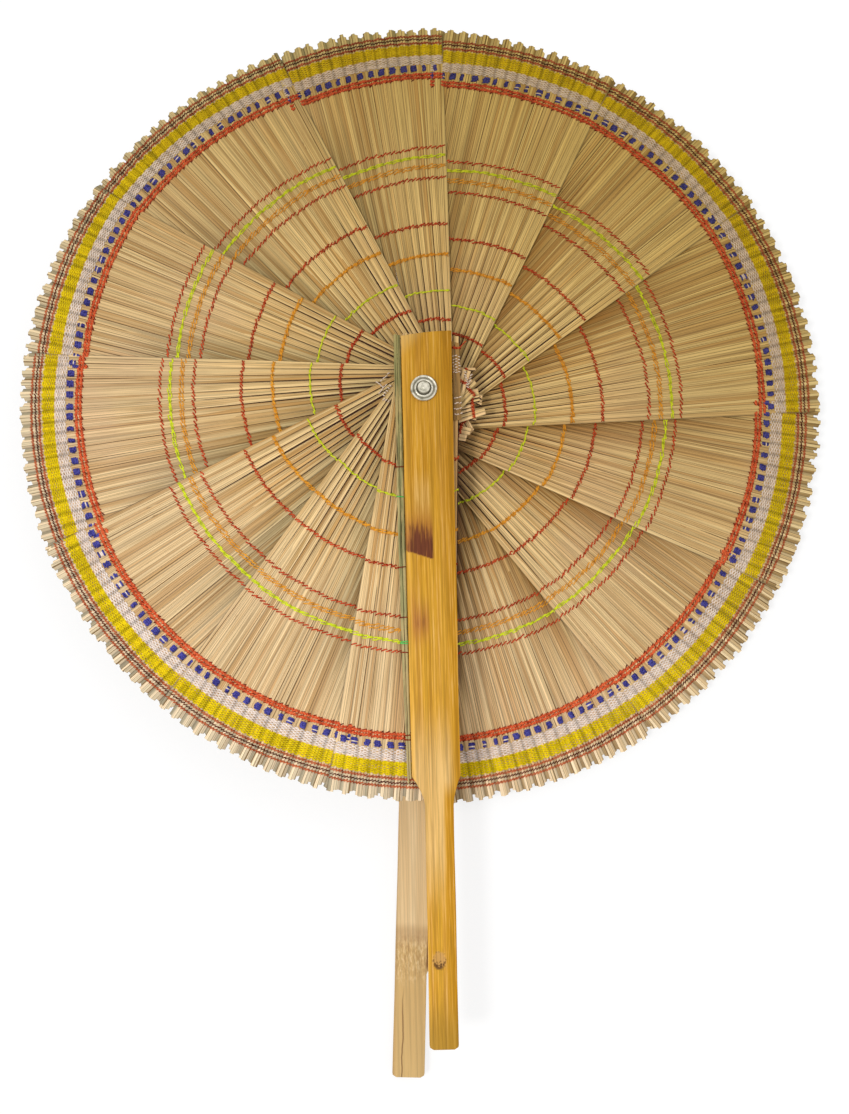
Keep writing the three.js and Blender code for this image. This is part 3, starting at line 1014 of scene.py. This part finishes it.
# The edge stick beside the front slat: two painted strips, tied in by the rings of thread.
# Their outer sides are given from the top down, as (down, left, right).
stick = Table(
    inMetres(gap=0.12, bevel=0.35, leftSinks=0.25, leftWaves=0.12),
    sides=((-28.8, -14.15, -10.95), (60, -14.1, -10.8), (120, -13.7, -10.6), (190, -12.2, -10.4)),
    split=0.5, rows=24,
    rightShorter=(2, 0.6),  # at its bottom and at its top, in mm
    # The colours that a ring's thread has where it ties the stick.
    ties={"dark_red": "rust", "lime": "green", "orange_red": "rust"},
)
# A tie: how far past the stick's sides and faces it runs, how much nearer to the rivet
# than its ring, and how slanted.
tie = Table(inMetres(thick=0.28, left=0.45, right=0.2, low=0.1, high=0.12), nearer=1.2, slant=0.4)


def stickSides(down):
    for (above, left, right), (below, nextLeft, nextRight) in zip(stick.sides, stick.sides[1:]):
        if down <= below:
            share = (down - above) / (below - above)
            return blend(left, nextLeft, share) * mm, blend(right, nextRight, share) * mm
    return nextLeft * mm, nextRight * mm


def buildStartStick(finishes):
    low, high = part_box("leaf_start_stick")
    top, bottom = stick.sides[0][0], stick.sides[-1][0]
    bm = bmesh.new()
    for isRight in (False, True):
        made = bmesh.ops.create_grid(bm, x_segments=1, y_segments=stick.rows, size=0.5)
        for vertex in made["verts"]:
            x, y = vertex.co.x + 0.5, vertex.co.y + 0.5
            short, late = stick.rightShorter if isRight else (0, 0)
            down = blend(bottom - short, top + late, y)
            left, right = stickSides(down)
            middle = blend(left, right, stick.split)
            if isRight:
                across = blend(middle + stick.gap / 2, right, x)
            else:
                across = blend(left, middle - stick.gap / 2, x)
                across += noise.noise(Vector((down / 30, 0, 0))) * stick.leftWaves * (1 - x)
            vertex.co = (across, -down * mm, low.z)
        extrudeTo(bm, list(facesOf(made)), high.z - (0 if isRight else stick.leftSinks))
    roundEdges(bm, stick.bevel, 2)
    piece = addMesh("start_stick_strips", bm, paintFinish())
    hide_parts("leaf_start_stick")
    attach(piece, "front_slat")

    for name, colour in stick.ties.items():
        rows = []
        for radius in sorted({row[0] for row in bands[name]["twined"] if row[0] > 0}):
            down = radius - tie.nearer
            left, right = stickSides(down)
            across = left - tie.left, right + tie.right
            start, end = (Vector((x, (dice.uniform(-1, 1) * tie.slant - down) * mm)) for x in across)
            rows.append(shortThread(start, end, low.z + tie.low, high.z + tie.high))
        piece = threadPiece(f"{name}_stick_ties", rows, tie.thick, finishes[colour])
        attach(piece, "front_slat")


# Slats. Each narrows a little to its shoulder, then quickly to its neck, and its middle
# may lie beside the rivet. The bump is the low ring of a culm's node.
frontSlat = inMetres(
    length=310, top=27.4, slant=2.2, width=24.8, narrowing=2.2,
    shoulder=187, neck=201, neckWidth=13.3, endWidth=13.2,
    offset=1.75, drift=-0.6, neckOffset=2.3, endOffset=1.6,
    bumpAt=270, bumpLength=5, bumpHeight=0.5, ledge=0,
)
backSlat = inMetres(
    length=325.5, top=28, slant=0, width=24.3, narrowing=0.9,
    shoulder=184, neck=199, neckWidth=14.8, endWidth=15.1,
    offset=0, drift=0, neckOffset=0.3, endOffset=0.3,
    bumpAt=260, bumpLength=6, bumpHeight=1.25, ledge=1.4,
)
slatShape = inMetres(
    culmRadius=45, thickness=4.7, edge=0.5,
    corner=1.9,  # rounding of the grip's end
    waves=0.15,  # unevenness of the long edges
    ledgeIn=30, ledgeEnd=277,  # past the neck, and from the rivet
)
slatGrid = {"x_segments": 24, "y_segments": 330}


# The slat's width and middle at a distance down from the rivet.
def slatOutline(slat, distance):
    straight = min(max((distance - slat.shoulder) / (slat.neck - slat.shoulder), 0), 1)
    taper = 1 - (1 - straight) ** 1.7
    toShoulder = min((distance + slat.top) / (slat.shoulder + slat.top), 1)
    toEnd = max((distance - slat.neck) / (slat.length - slat.neck), 0)
    wide = slat.width - slat.narrowing * toShoulder
    width = blend(wide, blend(slat.neckWidth, slat.endWidth, toEnd), taper)
    middle = slat.offset + slat.drift * toShoulder
    middle = blend(middle, blend(slat.neckOffset, slat.endOffset, toEnd), taper)
    corner = max(1 - (slat.length - distance) / slatShape.corner, 0)
    width -= 2 * slatShape.corner * (1 - math.sqrt(1 - corner * corner))
    return width, middle


# The bud scar's raised rim and sunken, rough middle.
def budLift(x, x0, distance):
    reach = math.hypot((x0 + x - bud.x) / bud.wide, (distance - bud.down) / bud.high)
    rough = noise.noise(Vector((x, distance, 0)) * 900) * math.exp(-reach * reach)
    ring = math.exp(-((reach - 1) / 0.3) ** 2) - math.exp(-((reach / 0.6) ** 2))
    return bud.depth * (ring + rough)


# A slat with its flat inner face on z = 0, its skin up and its grip towards -Y.
def slatMesh(slat, hasBud=False):
    bm = bmesh.new()
    bmesh.ops.create_grid(bm, size=0.5, **slatGrid)
    for vertex in bm.verts:
        side = vertex.co.x
        share = vertex.co.y + 0.5
        distance = blend(-slat.top, slat.length, share)
        distance -= slat.slant * (side + 0.5) * (1 - share) ** 12
        width, middle = slatOutline(slat, distance)
        x = side * width
        ledge = smooth(slat.neck, slat.neck + slatShape.ledgeIn, distance)
        ledge *= 1 - smooth(slatShape.ledgeEnd - mm, slatShape.ledgeEnd + mm, distance)
        x -= slat.ledge * max(-2 * side, 0) ** 6 * ledge
        wave = noise.noise(Vector((distance * 30, side, slat.length * 90))) * slatShape.waves
        fromBump = (distance - slat.bumpAt) / slat.bumpLength
        lift = slat.bumpHeight * math.exp(-fromBump * fromBump)
        if hasBud:
            lift += budLift(x, middle, distance)
        height = slatShape.thickness - x * x / (2 * slatShape.culmRadius) + lift
        vertex.co = (middle + x + wave * abs(side) * 2, -distance, height)
    extrudeTo(bm, bm.faces[:], 0)
    roundEdges(bm, slatShape.edge, 3)
    return bm


def buildSlats():
    bm = slatMesh(frontSlat, hasBud=True)
    bmesh.ops.translate(bm, vec=(0, 0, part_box("front_guard")[0].z), verts=bm.verts)
    front = addMesh("front_slat_skin", bm, skinFinish())
    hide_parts("front_guard")
    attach(front, "front_slat")

    bm = slatMesh(backSlat)
    lift = Matrix.Translation((0, 0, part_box("back_guard")[1].z))
    turn = Matrix.Rotation(-backTurn, 4, "Z") @ Matrix.Rotation(math.pi, 4, "Y")
    bmesh.ops.transform(bm, matrix=lift @ turn, verts=bm.verts)
    back = addMesh("back_slat_inner", bm, innerFinish())
    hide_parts("back_guard")
    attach(back, "back_slat")
    print("slats")


# The washer as a pressed dish with plain rings: radius and height, in mm.
washerProfile = [
    (2.7, 38.6), (6.2, 38.6), (6.5, 38.8), (6.45, 39.25), (6.2, 39.5), (5.75, 39.5), (5.4, 39.25),
    (5.1, 38.95), (4.8, 38.95), (4.55, 39.2), (4.3, 39.42), (3.9, 39.45), (3.5, 39.3),
    (3.2, 39), (2.7, 39),
]


def buildWasher(metal):
    bm = bmesh.new()
    corners = [bm.verts.new((radius * mm, 0, z * mm)) for radius, z in washerProfile]
    edges = [bm.edges.new((a, b)) for a, b in zip(corners, corners[1:] + corners[:1])]
    bmesh.ops.spin(
        bm, geom=corners + edges, cent=(0, 0, 0), axis=(0, 0, 1),
        angle=2 * math.pi, steps=72, use_merge=True,
    )
    bmesh.ops.recalc_face_normals(bm, faces=bm.faces)
    piece = addMesh("washer_dish", bm, metal)
    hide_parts("front_washer")
    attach(piece, "front_slat")


def buildPlainNodes():
    metal = metalFinish()
    buildWasher(metal)
    for name, finish in (("leaf_end_stick", innerFinish()), ("rivet_pin", metal)):
        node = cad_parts[name]
        node.data.materials.clear()
        node.data.materials.append(finish)


# Camera, floor and light
camera = Table(
    azimuth=-3.3, elevation=79.36, roll=1.91,
    target=Vector((-1.3, -76.1, 0)) * mm, distance=850 * mm,
    focal=1703, frameHeight=1114,  # pixels of the photograph
    sensor=36, clip=(0.01, 20),
)


def buildCamera():
    azimuth, elevation, roll = (math.radians(camera[k]) for k in ("azimuth", "elevation", "roll"))
    data = bpy.data.cameras.new("camera")
    data.sensor_width = camera.sensor
    data.lens = camera.focal * camera.sensor / camera.frameHeight
    data.clip_start, data.clip_end = camera.clip
    turn = Matrix.Rotation(azimuth, 4, "Z") @ Matrix.Rotation(math.pi / 2 - elevation, 4, "X")
    turn = turn @ Matrix.Rotation(roll, 4, "Z")
    back = Matrix.Translation((0, 0, camera.distance))
    scene.camera = addObject("camera", data)
    scene.camera.matrix_world = Matrix.Translation(camera.target) @ turn @ back


studio = Table(
    floor=tint(236, 236, 236), sky=0.62,
    # The floor as the camera sees it: its own light, and how much of its shadows is left.
    glow=(0.77, 0.77, 0.77, 1), shadows=(0.25, 0.25, 0.25, 1),
    # Strength, angle across in degrees, and where the light comes from.
    lamps={"key": (1.25, 12, (-0.45, -0.25, 1)), "fill": (0.35, 50, (0.5, 0.6, 1))},
)


def buildStudio():
    bm = bmesh.new()
    bmesh.ops.create_grid(bm, x_segments=1, y_segments=1, size=4)
    finish = Finish("floor", Roughness=0.9, Emission_Strength=1, Specular_IOR_Level=0)
    seen = finish.backgroundRays()
    paper = finish.mix(seen, studio.floor, studio.shadows)
    glow = finish.mix(seen, (0, 0, 0, 1), studio.glow)
    addMesh("floor", bm, finish.use(Base_Color=paper, Emission_Color=glow))

    scene.world = bpy.data.worlds.new("studio")
    sky = Finish("studio", None, scene.world, "Background", Color=(1, 1, 1, 1))
    sky.use(Strength=sky.backgroundRays() * (1 - studio.sky) + studio.sky)

    for name, (power, angle, spot) in studio.lamps.items():
        data = bpy.data.lights.new(name, "SUN")
        data.energy = power
        data.angle = math.radians(angle)
        lamp = addObject(name, data)
        lamp.rotation_mode = "QUATERNION"
        lamp.rotation_quaternion = Vector(spot).to_track_quat("Z", "Y")
    scene.view_settings.view_transform = "Standard"


buildCamera()
buildLeaf()
buildSlats()
buildPlainNodes()
buildStudio()
print("studio")
